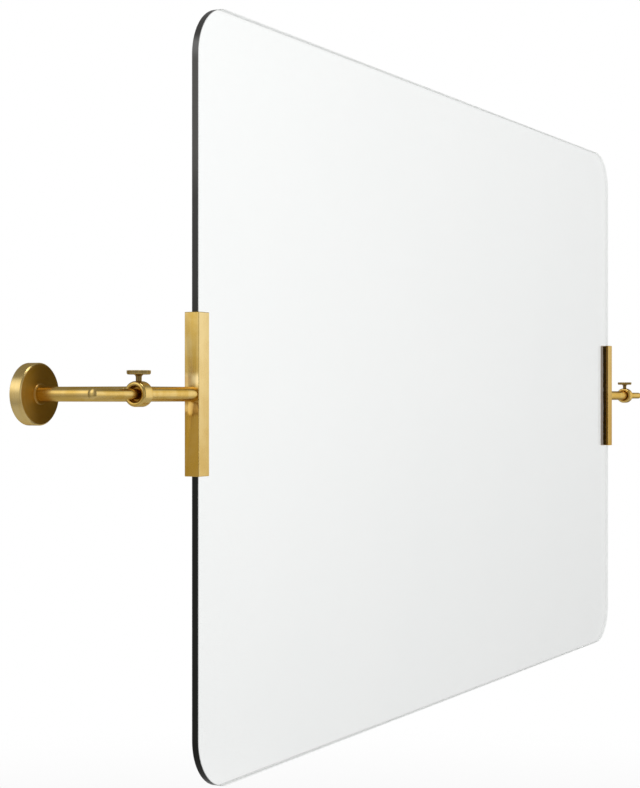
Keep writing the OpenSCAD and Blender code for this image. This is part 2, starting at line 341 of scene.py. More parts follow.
def place(name, mesh, material):
    """Links a mesh as a piece of one material, shaded smooth up to its true edges."""
    mesh.materials.clear()
    mesh.materials.append(material)
    mesh.shade_smooth()
    mesh.set_sharp_from_angle(angle=SMOOTH_UP_TO)
    piece = bpy.data.objects.new(name, mesh)
    bpy.context.scene.collection.objects.link(piece)
    return piece


half_w = (glass_high.x - glass_low.x) / 2
half_h = (glass_high.z - glass_low.z) / 2


def glass_outline(sheet, inset, y):
    """The sheet's rounded outline at some depth, as new points that run round it once."""
    points = []
    for quarter, (sx, sz) in enumerate(((1, 1), (-1, 1), (-1, -1), (1, -1))):
        for step in range(CORNER_STEPS + 1):
            angle = math.pi / 2 * (quarter + step / CORNER_STEPS)
            at_x = sx * (half_w - CORNER) + (CORNER - inset) * math.cos(angle)
            at_z = sz * (half_h - CORNER) + (CORNER - inset) * math.sin(angle)
            points.append(sheet.verts.new((at_x, y, glass_middle.z + at_z)))
    return points


def lofted(name, rims, capped):
    """A mesh between outlines given as (inset, y), with its ends closed or left open."""
    sheet = bmesh.new()
    loops = [glass_outline(sheet, inset, y) for inset, y in rims]
    for near, far in zip(loops, loops[1:]):
        for index in range(len(near)):
            sheet.faces.new((near[index - 1], far[index - 1], far[index], near[index]))
    if capped:
        sheet.faces.new(loops[0])
    if capped and len(loops) > 1:
        sheet.faces.new(loops[-1])
        bmesh.ops.recalc_face_normals(sheet, faces=sheet.faces)
    mesh = bpy.data.meshes.new(name)
    sheet.to_mesh(mesh)
    sheet.free()
    return mesh


float_glass, tree = finish("float_glass")
_, y, z = tree.places()
inwards = (y - glass_low.y).maths("MINIMUM", glass_high.y - y)
side_face = inwards.ramp(*SIDE_FACE)
height = z + tree.noise(90, 0, 28, detail=3) * EDGE_DRIFT
# The edge's painted shade and painted reflection, in tones up its height.
painted_edge_tone = tree.mix(height.ramp(*DEEP_TO_SHADE), EDGE_DEEP, EDGE_SHADE)
painted_edge_tone = tree.mix(height.ramp(*SHADE_TO_PALE), painted_edge_tone, EDGE_PALE)
painted_edge_tone = tree.mix(z.ramp(*PALE_TO_LIGHT), painted_edge_tone, EDGE_LIGHT)
painted_edge_tone = tree.mix(z.ramp(*LIGHT_TO_SHADE), painted_edge_tone, EDGE_SHADE)
honed = tree.bump(0.25, 0.02 * MM, tree.noise(1400, 0, 1400, detail=2))
clear = {"Base Color": GLASS_COLOUR, "Roughness": 0.0, "IOR": GLASS_IOR, "Transmission Weight": 1.0}
ground = {"Base Color": tree.mix(side_face, ARRIS_GREY, painted_edge_tone), "Normal": honed,
          "Roughness": 0.48 - side_face * 0.26, "Specular IOR Level": EDGE_GLOSS}
surface(tree, clear, ground, inwards.ramp(*GROUND_SKIN))
rims = [(ARRIS, glass_low.y), (0, glass_low.y + ARRIS),
        (0, glass_high.y - ARRIS), (ARRIS, glass_high.y)]
glass_sheet = place("float_glass_sheet", lofted("float_glass_sheet", rims, True), float_glass)
seat(glass_sheet, "mirror", "mirror_glass", "mirror_glass")

silver, tree = finish("silver")
haze = tree.noise(6, 0, 6, detail=2).ramp(0.4, 0.9)
surface(tree, {"Base Color": tree.mix(haze, SILVER, SILVER_HAZE), "Metallic": 1.0,
               "Roughness": haze * 0.012})
rims = [(SILVER_INSET, glass_high.y - SILVER_AHEAD)]
seat(place("silvering", lofted("silvering", rims, True), silver), "mirror", "mirror_glass")

# The strip inside the ground edge glows: painted light that stands in for light let in through the
# ground edge.
edge_inside, tree = finish("edge_inside")
frost = tree.noise(700, 0, 700, detail=2)
surface(tree, {"Base Color": tree.mix(frost, INSIDE_LIGHT, INSIDE_DULL), "Roughness": frost * 0.1 + 0.5,
               "Emission Color": (*INSIDE_LIGHT, 1), "Emission Strength": INSIDE_PAINTED_GLOW})
rims = [(INSIDE_INSET, glass_low.y + ARRIS), (INSIDE_INSET, glass_high.y - ARRIS)]
seat(place("ground_edge", lofted("ground_edge", rims, False), edge_inside), "mirror", "mirror_glass")


# ---- Backing ----
# Two coats of grey backing paint and a clear safety film, rolled on to the silver
# and cut just short of the glass edge.

FILM_GREY = (0.235, 0.245, 0.255)
FILM_DARK = (0.175, 0.185, 0.195)
SCRIM = 2000


def dress(node, material):
    """Gives a CAD node its material."""
    slots = frame["nodes"][node].data.materials
    slots.clear()
    slots.append(material)


backing, tree = finish("backing_film")
x, _, z = tree.places()
roller = tree.noise(8, 0, 260, detail=3).ramp(0.3, 0.75)
clouds = tree.noise(22, 0, 22, detail=3).ramp(0.3, 0.75)
scrim = (x * SCRIM).maths("SINE") * (z * SCRIM).maths("SINE") * 0.12
skin = tree.bump(0.35, 0.03 * MM, tree.noise(900, 0, 900, detail=2) + scrim)
surface(tree, {"Base Color": tree.mix(roller * 0.5 + clouds * 0.4, FILM_GREY, FILM_DARK),
               "Roughness": 0.40 + clouds * 0.14, "Normal": skin})
dress("back_film", backing)


# ---- Clamp bars ----
# Slotted bars of solid brass, milled, drawn lengthwise over a fine belt and left
# without lacquer. Each grips the side of the glass between its two lips. Its outer
# side is buffed a little hollow above and below the rod. Painted highlights and
# painted shade lie on the fronts, the lower parts, the lips and those hollows.

SIDES = {"left": -1, "right": 1}
PALE_BRASS = (0.870, 0.690, 0.350)
LIGHT_BRASS = (0.860, 0.640, 0.260)
BRASS = (0.780, 0.530, 0.130)
DEEP_BRASS = (0.630, 0.335, 0.022)
TARNISH = (0.330, 0.150, 0.012)
PATINA = (0.230, 0.160, 0.062)
GRAZING_BRASS = (0.96, 0.80, 0.50, 1)
GRAIN_DETAIL = 3
GRAIN_ROUGHNESS = 0.6
GRAIN_FINE = 9000
GRAIN_LONG = 110
STREAK_FINE = 620
STREAK_LONG = 16
MERGED_UP_TO = 0.001 * MM
FLAT_UP_TO = math.radians(0.5)
SHARP_FROM = math.radians(20)
WORN_FROM = math.radians(8)
BAR_SOFTENING = 0.16 * MM
SOFTENING_STEPS = 3
CORNER_BAND = 0.3 * MM
# Painted highlight on the bars' fronts, stronger towards the top.
FRONT_HIGHLIGHT = 0.55
FRONT_FADE = 4
# Painted shade lower down on the bars' sides: a deeper yellow and a little darker.
LOWER_PART = (18 * MM, -22 * MM)
LOWER_DEPTH = 0.7
LOWER_SHADE = 0.14
# Painted shade on the lips' inner sides and on the right bar's front.
LIP_SHADE = 0.85
ACROSS_MIRROR = (-0.3, 0.3)
RIGHT_SHADE = 0.3
# Painted glints above and below the rod: a painted highlight on one side of each patch and painted
# shade on the other.
GLINT_AT = 11 * MM
GLINT_EDGE = (7 * MM, 1 * MM)
GLINT_HIGHLIGHT = 0.9
GLINT_TURN = 30 * MM * MM
GLINT_SHADE = 0.6
HOLLOW_ABOVE = (17 * MM, 4 * MM)
HOLLOW_BELOW = (-5.5 * MM, -17 * MM)
HOLLOW_DEPTH = 1.4 * MM


def straight_grain(tree, along):
    """The lines that a belt leaves along an axis, fine ones and broad ones."""
    made = []
    for fine, long in ((GRAIN_FINE, GRAIN_LONG), (STREAK_FINE, STREAK_LONG)):
        scales = [long if axis == along else fine for axis in "xyz"]
        made.append(tree.noise(*scales, detail=GRAIN_DETAIL, roughness=GRAIN_ROUGHNESS))
    return made


def brass(name, grain, gloss=0.20, age=0.0,
          paler=None, deeper=None, darker=None, rougher=None, hollow=None):
    """Satin brass with clouds of patina, small marks and bright worn edges. The last five
    are functions of x, y and z that say where the surface is so."""
    made, tree = finish(name)
    lines, streaks = grain(tree)
    x, y, z = tree.places()
    clouds = tree.noise(60, 60, 60, detail=3).ramp(0.36, 0.66)
    marks = tree.noise(900, 900, 900, detail=3, roughness=0.6).ramp(0.62, 0.78)
    worn = tree.node("ShaderNodeAttribute", {"attribute_name": "wear"}, (), "Fac")
    drawn = lines.ramp(0.30, 0.72)
    broad = streaks.ramp(0.36, 0.66)
    tone = tree.mix(broad * 0.6 + clouds * 0.4, LIGHT_BRASS, BRASS)
    tone = tree.mix(drawn * 0.18 + clouds * 0.22, tone, DEEP_BRASS)
    if paler:
        tone = tree.mix(paler(x, y, z), tone, PALE_BRASS)
    if deeper:
        tone = tree.mix(deeper(x, y, z), tone, DEEP_BRASS)
    tone = tree.mix(marks * (0.10 + age * 0.4), tone, TARNISH)
    if darker:
        tone = tree.mix(darker(x, y, z), tone, TARNISH)
    if age:
        tone = tree.mix(clouds * 0.10 - worn * 0.30 + age, tone, PATINA)
    tone = tree.mix(worn * 0.5, tone, LIGHT_BRASS)
    rough = clouds * 0.06 + drawn * 0.05 + marks * 0.08 - worn * 0.06 + gloss
    if rougher:
        rough = rough + rougher(x, y, z)
    dished = tree.bump(1, HOLLOW_DEPTH, hollow(x, y, z)) if hollow else None
    bumpy = tree.bump(0.14, 0.01 * MM, lines + marks * 0.3, dished)
    surface(tree, {"Base Color": tone, "Metallic": 1.0, "Roughness": rough, "Normal": bumpy,
                   "Specular Tint": GRAZING_BRASS})
    return made


def softened(node, width):
    """A copy of a CAD node with rounded edges, and a wear value on its narrow faces."""
    solid = bmesh.new()
    solid.from_mesh(frame["nodes"][node].data)
    bmesh.ops.remove_doubles(solid, verts=solid.verts, dist=MERGED_UP_TO)
    bmesh.ops.dissolve_limit(solid, angle_limit=FLAT_UP_TO, verts=solid.verts, edges=solid.edges)
    sharp = [edge for edge in solid.edges if edge.calc_face_angle(0) > SHARP_FROM]
    bmesh.ops.bevel(solid, geom=sharp, offset=width, segments=SOFTENING_STEPS, profile=0.5,
                    affect="EDGES", clamp_overlap=True)
    wear = solid.faces.layers.float.new("wear")
    for face in solid.faces:
        face[wear] = float(max(map(abs, face.normal)) < math.cos(WORN_FROM))
    made = bpy.data.meshes.new(node + "_softened")
    solid.to_mesh(made)
    solid.free()
    return made


bar_low, bar_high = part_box("right_clamp_bar")
bar_middle = (bar_low.y + bar_high.y) / 2


def on_front(y):
    """1 on a bar's front face, 0 on its sides."""
    return y.ramp(bar_low.y + CORNER_BAND, bar_low.y)


def lower_part(z):
    """0 above the rod, turning into 1 below it."""
    return z.ramp(*LOWER_PART)


def glint_patch(y, z):
    """1 on a bar's side just above and below the rod, where glints are painted."""
    return abs(abs(z) - GLINT_AT).ramp(*GLINT_EDGE) * (1 - on_front(y))


def glint_lit_side(y, z):
    """1 on the lit side of a painted glint: towards the front above the rod and towards the back below
    it.
    """
    return ((bar_middle - y) * z).ramp(-GLINT_TURN, GLINT_TURN)


def bar_hollow(x, y, z):
    """How high the side stands, which falls towards the top in both hollow patches."""
    return (z.ramp(*HOLLOW_ABOVE) + z.ramp(*HOLLOW_BELOW)) * (1 - on_front(y))


def bar_painted_highlight(x, y, z):
    """Painted highlight: the front is paler, more so towards the top, and so is each glint patch."""
    front = on_front(y) * (z * FRONT_FADE + FRONT_HIGHLIGHT)
    return front.maths("MAXIMUM", glint_patch(y, z) * GLINT_HIGHLIGHT)


def bar_painted_depth(x, y, z):
    """Painted shade: the sides are a deeper yellow lower down."""
    return lower_part(z) * (1 - on_front(y)) * LOWER_DEPTH


def bar_painted_shade(x, y, z):
    """Painted shade on the lower part, the lip's inner side, the right bar's front and the unlit side
    of each glint patch.
    """
    lip = abs(x).ramp(bar_low.x + CORNER_BAND, bar_low.x) * LIP_SHADE
    right = on_front(y) * x.ramp(*ACROSS_MIRROR) * RIGHT_SHADE
    glint_unlit_side = glint_patch(y, z) * (1 - glint_lit_side(y, z)) * GLINT_SHADE
    return (lower_part(z) * LOWER_SHADE + right + glint_unlit_side).maths("MAXIMUM", lip)


bar_brass = brass("bar_brass", lambda tree: straight_grain(tree, "z"),
                  paler=bar_painted_highlight, deeper=bar_painted_depth, darker=bar_painted_shade, hollow=bar_hollow)
for side in SIDES:
    bar = place(f"{side}_brushed_bar", softened(f"{side}_clamp_bar", BAR_SOFTENING), bar_brass)
    seat(bar, "mirror", "satin_brass", f"{side}_clamp_bar")


# ---- Bar liners ----
# Thin U-shaped strips of black elastomer between the bars and the glass. They keep
# the brass off the glass and give the set screws something soft to press on.

LINER_BLACK = (0.016, 0.016, 0.016)
LINER_BLOOM = (0.040, 0.040, 0.039)

liner_rubber, tree = finish("liner_rubber")
bloom = tree.noise(300, 300, 60, detail=3).ramp(0.4, 0.8)
skin = tree.bump(0.3, 0.02 * MM, tree.noise(2500, 2500, 2500, detail=2))
surface(tree, {"Base Color": tree.mix(bloom, LINER_BLACK, LINER_BLOOM),
               "Roughness": bloom * 0.15 + 0.55, "Normal": skin})
for side in SIDES:
    dress(f"{side}_bar_liner", liner_rubber)


# ---- Set screws ----
# Three zinc-plated M4 socket set screws in each back lip. They press on the liner
# and so lock the glass in the bar.

SET_RADIUS = 1.95 * MM
SET_PITCH = 0.7 * MM
SET_CHAMFER = 0.4 * MM
SET_POINT = 0.3 * MM
SET_KEY = 2 * MM
SET_KEY_DEPTH = 1.45 * MM
SET_COUNT = 3
SET_SPACING = 44 * MM
THREAD_DEPTH = 0.54
ROWS_PER_TURN = 10
THREAD_SEGMENTS = 48
AT_AXIS = 0.01 * MM
ALONG = {"x": Matrix.Rotation(math.pi / 2, 4, "Y"), "-x": Matrix.Rotation(-math.pi / 2, 4, "Y"),
         "y": Matrix.Rotation(-math.pi / 2, 4, "X"), "-y": Matrix.Rotation(math.pi / 2, 4, "X"),
         "z": Matrix.Identity(4)}
ZINC = (0.62, 0.63, 0.635)
ZINC_BLUE = (0.50, 0.53, 0.57)
ZINC_DULL = (0.36, 0.365, 0.36)

zinc, tree = finish("zinc_steel")
clouds = tree.noise(160, 160, 160, detail=4, roughness=0.6).ramp(0.35, 0.7)
dull = tree.noise(45, 45, 45, detail=3).ramp(0.52, 0.75)
skin = tree.bump(0.12, 0.01 * MM, tree.noise(3000, 3000, 3000, detail=2))
surface(tree, {"Base Color": tree.mix(dull * 0.5, tree.mix(clouds, ZINC, ZINC_BLUE), ZINC_DULL),
               "Metallic": 1.0, "Roughness": clouds * 0.10 + dull * 0.12 + 0.26, "Normal": skin})


def rows(start, end, radius, pitch):
    """Closely spaced outline points along a straight stretch that gets a thread."""
    count = max(2, round(abs(end - start) / (pitch / ROWS_PER_TURN)))
    return [(start + (end - start) * step / count, radius, 0.0) for step in range(count + 1)]


def shank(length, radius, pitch, first, last):
    """The outline of a headless screw with a chamfer at each end."""
    return [(0, 0, 0), (0, radius - first, 0), *rows(first, length - last, radius, pitch),
            (length, radius - last, 0), (length, 0, 0)]


def turned(name, outline, segments, closed=False):
    """A mesh turned round its own Z from an outline of (along, radius, wear) points."""
    blank = bmesh.new()
    wear = blank.verts.layers.float.new("wear")
    loops = []
    for along, radius, worn in outline:
        count = segments if radius > 0 else 1
        loop = []
        for step in range(count):
            angle = 2 * math.pi * step / segments
            vertex = blank.verts.new((radius * math.cos(angle), radius * math.sin(angle), along))
            vertex[wear] = worn
            loop.append(vertex)
        loops.append(loop)
    pairs = list(zip(loops, loops[1:]))
    if closed:
        pairs.append((loops[-1], loops[0]))
    for low, high in pairs:
        for step in range(segments):
            following = (step + 1) % segments
            ring = [low[step % len(low)], low[following % len(low)],
                    high[following % len(high)], high[step % len(high)]]
            blank.faces.new(list(dict.fromkeys(ring)))
    bmesh.ops.recalc_face_normals(blank, faces=blank.faces)
    mesh = bpy.data.meshes.new(name)
    blank.to_mesh(mesh)
    blank.free()
    return mesh


def settled(mesh, *changes):
    """The mesh after modifiers, each given as a function that adds one to an object."""
    worker = bpy.data.objects.new("work", mesh)
    bpy.context.scene.collection.objects.link(worker)
    for change in changes:
        change(worker)
    graph = bpy.context.evaluated_depsgraph_get()
    graph.update()
    made = bpy.data.meshes.new_from_object(worker.evaluated_get(graph), depsgraph=graph)
    worker.modifiers.clear()
    bpy.data.objects.remove(worker)
    return made


def rule(name, sizes):
    """A Geometry Nodes group with a geometry input and one named number for each size."""
    group = bpy.data.node_groups.new(name, "GeometryNodeTree")
    group.interface.new_socket("Geometry", in_out="INPUT", socket_type="NodeSocketGeometry")
    group.interface.new_socket("Geometry", in_out="OUTPUT", socket_type="NodeSocketGeometry")
    for label in sizes:
        kind = "NodeSocketInt" if label == "Count" else "NodeSocketFloat"
        group.interface.new_socket(label, in_out="INPUT", socket_type=kind)
    tree = Tree(group)
    tree.node("NodeGroupInput")
    given = {socket.name: Socket(tree, socket) for socket in tree.nodes[0].outputs if socket.name}
    return group, tree, given


def closed_by(tree, geometry):
    """Ends a rule: what it made becomes one real mesh of one material."""
    real = tree.node("GeometryNodeRealizeInstances", (), {"Geometry": geometry})
    named = tree.node("GeometryNodeSetMaterial", (), {"Geometry": real})
    tree.node("NodeGroupOutput", (), (named,))


def squeezed_by(tree, geometry, x, y, share):
    """Ends a rule by moving each point along its own radius by a share of it."""
    offset = tree.vector(x * share, y * share, 0)
    closed_by(tree, tree.node("GeometryNodeSetPosition", (), {"Geometry": geometry, "Offset": offset}))


def follow(group, material, **sizes):
    """A function that adds the rule's modifier with these sizes, and its material."""
    def add(worker):
        modifier = worker.modifiers.new(group.name, "NODES")
        modifier.node_group = group
        for item in group.interface.items_tree:
            label = item.name.lower().replace(" ", "_")
            if item.in_out == "INPUT" and label in sizes:
                modifier[item.identifier] = sizes[label]
        group.nodes["Set Material"].inputs["Material"].default_value = material
    return add


thread_rule, tree, given = rule("cut_thread", ("Start", "End", "Pitch", "Depth", "Run Out"))
x, y, z = tree.axes(tree.node("GeometryNodeInputPosition"))
turn = z / given["Pitch"] - y.maths("ARCTAN2", x) / (2 * math.pi)
flank = abs(turn.maths("FRACT") - 0.5) * 2
inside = (z - given["Start"]).maths("MINIMUM", given["End"] - z) / given["Run Out"]
cut = flank * given["Depth"] * inside.maths("MAXIMUM", 0).maths("MINIMUM", 1)
radius = off_axis(x, y).maths("MAXIMUM", AT_AXIS)
squeezed_by(tree, given["Geometry"], x, y, -cut / radius)

SOCKET_SIZES = ("Key", "Key Top", "Key Depth", "Count", "Spacing")
socket_rule, tree, given = rule("key_socket_in_a_row", SOCKET_SIZES)
hexagon = tree.node("GeometryNodeMeshCylinder", {"fill_type": "NGON"}, {
    "Vertices": 6, "Radius": given["Key"] / math.sqrt(3), "Depth": given["Key Depth"] * 2})
broached = tree.node("GeometryNodeTransform", (), {
    "Geometry": hexagon, "Translation": tree.vector(0, 0, given["Key Top"])})
holed = tree.node("GeometryNodeMeshBoolean", {"operation": "DIFFERENCE", "solver": "EXACT"}, {
    "Mesh 1": given["Geometry"], "Mesh 2": broached})
first = given["Spacing"] * (given["Count"] - 1) * -0.5
line = tree.node("GeometryNodeMeshLine", {"mode": "OFFSET"}, {
    "Count": given["Count"], "Start Location": tree.vector(0, first, 0),
    "Offset": tree.vector(0, given["Spacing"], 0)})
closed_by(tree, tree.node("GeometryNodeInstanceOnPoints", (), {"Points": line, "Instance": holed}))


def threaded(start, end, pitch, material):
    """Cuts a V thread between two heights, running out over half a turn."""
    return follow(thread_rule, material, start=start, end=end, pitch=pitch,
                  depth=THREAD_DEPTH * pitch, run_out=pitch / 2)


def socketed(key, top, depth, material, count=1, spacing=0.0):
    """Sinks a hexagonal key socket into the top, and repeats the screw along a row."""
    return follow(socket_rule, material, key=key, key_top=top, key_depth=depth,
                  count=count, spacing=spacing)


for side in SIDES:
    low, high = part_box(f"{side}_bar_set_screws")
    length = high.y - low.y
    blank = turned("set_screw", shank(length, SET_RADIUS, SET_PITCH, SET_CHAMFER, SET_POINT),
                   THREAD_SEGMENTS)
    screws = settled(blank, threaded(0, length, SET_PITCH, zinc),
                     socketed(SET_KEY, length, SET_KEY_DEPTH, zinc, SET_COUNT, SET_SPACING))
    middle = (low + high) / 2
    screws.transform(Matrix.Translation((middle.x, low.y, middle.z)) @ ALONG["y"])
    seat(place(f"{side}_set_screws", screws, zinc), "mirror", "zinc_steel", f"{side}_bar_set_screws")


# ---- Pivot rods ----
# Turned brass rods screwed into the bars. The thick part runs into the ring, and a
# thinner free end with a domed tip shows past it.

ROUND_STEPS = 4
ROUND_GUARD = 0.6
ROD_SEGMENTS = 128
ROD_SOFTENING = 0.3 * MM
SHOULDER = 2.3 * MM
TAIL_RADIUS = 3.9 * MM
TAIL_DOME = 1.4 * MM
DOME_STEPS = 10
DOME_REACH = 0.97
DOME_WEAR = 0.3
SPIGOT_RADIUS = 2.95 * MM
SPIGOT_PITCH = 1.0 * MM
SPIGOT_CHAMFER = 0.4 * MM
# Painted shade on the rod's free end inside the ring's bore, and in the ring's bore.
BORE_MOUTH = (7 * MM, 5 * MM)
BORE_SHADE = 0.93

hinges = {joint["name"]: Vector(joint["pos_m"]) for joint in frame["joints"]
          if joint["type"] == "hinge"}
pivot = hinges["mirror_tilt"]
ring_x = hinges["right_screw_turn"].x


def on_both_arms(name, mesh, material, node, at, axes=("z", "z"), slot="satin_brass",
                 bodies=("wall_arms", "wall_arms")):
    """Puts a copy of a mesh at a depth and height of each arm, turned to an axis."""
    for (side, away), axis, body in zip(SIDES.items(), axes, bodies):
        copy = mesh.copy()
        copy.transform(Matrix.Translation((away * ring_x, *at)) @ ALONG[axis])
        seat(place(f"{side}_{name}", copy, material), body, slot, f"{side}_{node}")


def rounded(corners):
    """An outline's points (along, radius, wear) from corners (along, radius, rounding)."""
    points = []
    for index, (along, radius, rounding) in enumerate(corners):
        here = Vector((along, radius))
        if not rounding:
            points.append((along, radius, 0.0))
            continue
        before = (Vector(corners[index - 1][:2]) - here).normalized()
        after = (Vector(corners[(index + 1) % len(corners)][:2]) - here).normalized()
        half_angle = before.angle(after) / 2
        centre = here + (before + after).normalized() * rounding / math.sin(half_angle)
        start = here + before * rounding / math.tan(half_angle)
        end = here + after * rounding / math.tan(half_angle)
        guard = rounding * ROUND_GUARD
        points.append((*(start + before * guard), 0.0))
        for step in range(ROUND_STEPS + 1):
            spoke = (start - centre).lerp(end - centre, step / ROUND_STEPS).normalized() * rounding
            points.append((*(centre + spoke), 1.0))
        points.append((*(end + after * guard), 0.0))
    return points


def rod_shade(x, y, z):
    """Painted shade on the free end where it passes through the ring's bore."""
    past_ring = abs(x) - ring_x
    return past_ring.ramp(0, SHOULDER) * past_ring.ramp(*BORE_MOUTH) * BORE_SHADE


low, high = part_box("right_pivot_rod")
tail = high.x - ring_x
spigot_end = ring_x - low.x
bar_side = ring_x - bar_high.x
rod_radius = (high.z - low.z) / 2
dome_radius = (TAIL_RADIUS ** 2 + TAIL_DOME ** 2) / (2 * TAIL_DOME)
dome_step = math.asin(TAIL_RADIUS / dome_radius) * DOME_REACH / DOME_STEPS
dome = [(dome_radius * (1 - math.cos(dome_step * step)) - tail,
         dome_radius * math.sin(dome_step * step), DOME_WEAR) for step in range(DOME_STEPS + 1)]
outline = [
    *dome,
    (TAIL_DOME - tail, TAIL_RADIUS - 0.01 * MM, 1.0),
    (1.15 * TAIL_DOME - tail, TAIL_RADIUS, DOME_WEAR),
    (2 * TAIL_DOME - tail, TAIL_RADIUS, 0),
    (-SHOULDER, TAIL_RADIUS, 0),
    *rounded([(-SHOULDER, TAIL_RADIUS, 0), (-SHOULDER, rod_radius, ROD_SOFTENING),
              (bar_side, rod_radius, ROD_SOFTENING), (bar_side, SPIGOT_RADIUS, 0)])[1:-1],
    *rows(bar_side + 0.01 * MM, spigot_end - SPIGOT_CHAMFER, SPIGOT_RADIUS, SPIGOT_PITCH),
    (spigot_end, SPIGOT_RADIUS - SPIGOT_CHAMFER, 0),
    (spigot_end, 0, 0),
]
rod_brass = brass("rod_brass", lambda tree: straight_grain(tree, "x"), darker=rod_shade)
rod = settled(turned("rod", outline, ROD_SEGMENTS),
              threaded(bar_side, spigot_end, SPIGOT_PITCH, rod_brass))
on_both_arms("turned_rod", rod, rod_brass, "pivot_rod", (pivot.y, pivot.z), ("x", "-x"),
             bodies=("mirror", "mirror"))


# ---- Rings ----
# Cast brass eyes, bored for the rod and blended into a short neck that stands on
# the post. Their two ends are fully rounded.

RING_WALL = 3.75 * MM
RING_BLEND = 0.85 * MM
RING_VOXEL = 0.2 * MM
RING_SEGMENTS = 192
SECTION_STEPS = 48
NECK_SOFTENING = 0.45 * MM
NECK_SEGMENTS = 96
SCREW_HOLE = 2.5 * MM
STUD_HOLE = 3 * MM
STUD_FLOOR = 1.5 * MM
HOLE_SEGMENTS = 64
# Painted shade in the ring's bore.
BORE_DARK = (1.30, 1.02)
GRAIN_TURNS = 1.6
STREAK_TURNS = 0.9
DRAW_STEP = 0.002 * MM
DRAW_PASSES = 4
LEAST_SLOPE = 0.05

low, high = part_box("left_ring")
ring_length = high.x - low.x
ring_radius = high.z
half_straight = (ring_length - RING_WALL) / 2
bore = ring_radius - RING_WALL
neck_end = high.y - pivot.y
neck_root = bore + RING_WALL / 4
neck_radius = rod_radius


def bead(radial, axial):
    """Distance outside the ring's rounded section."""
    beyond = np.maximum(np.abs(axial) - half_straight, 0)
    return np.hypot(radial - bore - RING_WALL / 2, beyond) - RING_WALL / 2


def neck(across, along):
    """Distance outside the neck, a short cylinder with softened rims."""
    half = (neck_end - neck_root) / 2
    side = across - neck_radius + NECK_SOFTENING
    rim = np.abs(along - neck_root - half) - half + NECK_SOFTENING
    within = np.minimum(np.maximum(side, rim), 0)
    return within + np.hypot(np.maximum(side, 0), np.maximum(rim, 0)) - NECK_SOFTENING


def casting(points):
    """Distance outside the ring and its neck, blended by a small fillet."""
    x, y, z = points.T
    ring_part = bead(np.hypot(y, z), x)
    neck_part = neck(np.hypot(x, z), y)
    share = np.clip(0.5 + (neck_part - ring_part) / (2 * RING_BLEND), 0, 1)
    return neck_part * (1 - share) + ring_part * share - RING_BLEND * share * (1 - share)


def drawn_to(shape, mesh):
    """Moves a mesh's points on to the surface where a distance is zero."""
    points = np.empty(len(mesh.vertices) * 3)
    mesh.vertices.foreach_get("co", points)
    points = points.reshape(-1, 3)
    for _ in range(DRAW_PASSES):
        offset = shape(points)
        rises = [shape(points + move) - shape(points - move) for move in np.eye(3) * DRAW_STEP]
        slope = np.stack(rises, 1) / (2 * DRAW_STEP)
        size = np.maximum((slope ** 2).sum(1), LEAST_SLOPE)
        points = points - slope * np.clip(offset / size, -RING_VOXEL, RING_VOXEL)[:, None]
    mesh.vertices.foreach_set("co", points.ravel())
    mesh.update()


def remeshed(worker):
    """Adds modifiers that turn joined meshes into one even skin."""
    modifier = worker.modifiers.new("even", "REMESH")
    modifier.mode = "VOXEL"
    modifier.voxel_size = RING_VOXEL
    modifier = worker.modifiers.new("smooth", "SMOOTH")
    modifier.factor = 0.5
    modifier.iterations = 3


def bar_of_air(radius, start, end, direction):
    """A cylinder that cuts a hole."""
    mesh = turned("hole", [(start, 0, 0), (start, radius, 0), (end, radius, 0), (end, 0, 0)],
                  HOLE_SEGMENTS)
    mesh.transform(ALONG[direction])
    return mesh


def bored(mesh, *holes):
    """The mesh with a hole where each of the other meshes lies."""
    cutters = [bpy.data.objects.new("cutter", hole) for hole in holes]

    def cut(worker):
        for cutter in cutters:
            bpy.context.scene.collection.objects.link(cutter)
            modifier = worker.modifiers.new("bore", "BOOLEAN")
            modifier.operation = "DIFFERENCE"
            modifier.solver = "EXACT"
            modifier.object = cutter

    made = settled(mesh, cut)
    for cutter in cutters:
        bpy.data.objects.remove(cutter)
    return made


def joined(*meshes):
    """One mesh from several."""
    whole = bmesh.new()
    for mesh in meshes:
        whole.from_mesh(mesh)
    made = bpy.data.meshes.new("joined")
    whole.to_mesh(made)
    whole.free()
    return made


def turned_grain(tree, axis):
    """The rings that a lathe leaves round a flange's axis (y) or the pivot axis (x)."""
    x, y, z = tree.places()
    from_arm = abs(x) - ring_x
    across, along = (from_arm, y) if axis == "y" else (y - pivot.y, from_arm)
    radius = off_axis(across, z)
    made = []
    for fine, turns in ((GRAIN_FINE, GRAIN_TURNS), (STREAK_FINE, STREAK_TURNS)):
        turn = tree.vector(radius * fine, across / radius * turns, z / radius * turns)
        inputs = {"Vector": turn, "W": along * fine, "Scale": 1,
                  "Detail": GRAIN_DETAIL, "Roughness": GRAIN_ROUGHNESS}
        made.append(tree.node("ShaderNodeTexNoise", {"noise_dimensions": "4D"}, inputs))
    return made


def ring_shade(x, y, z):
    """Painted shade in the bore and its mouth."""
    return off_axis(y - pivot.y, z).ramp(*(share * bore for share in BORE_DARK)) * BORE_SHADE


section = []
for step in range(SECTION_STEPS):
    angle = 2 * math.pi * step / SECTION_STEPS
    end = half_straight if math.cos(angle) >= 0 else -half_straight
    section.append((end + RING_WALL / 2 * math.cos(angle),
                    bore + RING_WALL / 2 * (1 + math.sin(angle)), 0))
hoop = turned("hoop", section, RING_SEGMENTS, closed=True)
hoop.transform(ALONG["x"])
stub = turned("stub", [(neck_root, 0, 0), (neck_root, neck_radius, 0),
                       (neck_end, neck_radius, 0), (neck_end, 0, 0)], NECK_SEGMENTS)
stub.transform(ALONG["y"])
eye = settled(joined(hoop, stub), remeshed)
drawn_to(casting, eye)
eye = bored(eye, bar_of_air(SCREW_HOLE, 0, 2 * ring_radius, "z"),
            bar_of_air(STUD_HOLE, bore + STUD_FLOOR, 2 * neck_end, "y"))
ring_brass = brass("ring_brass", lambda tree: turned_grain(tree, "x"), darker=ring_shade)
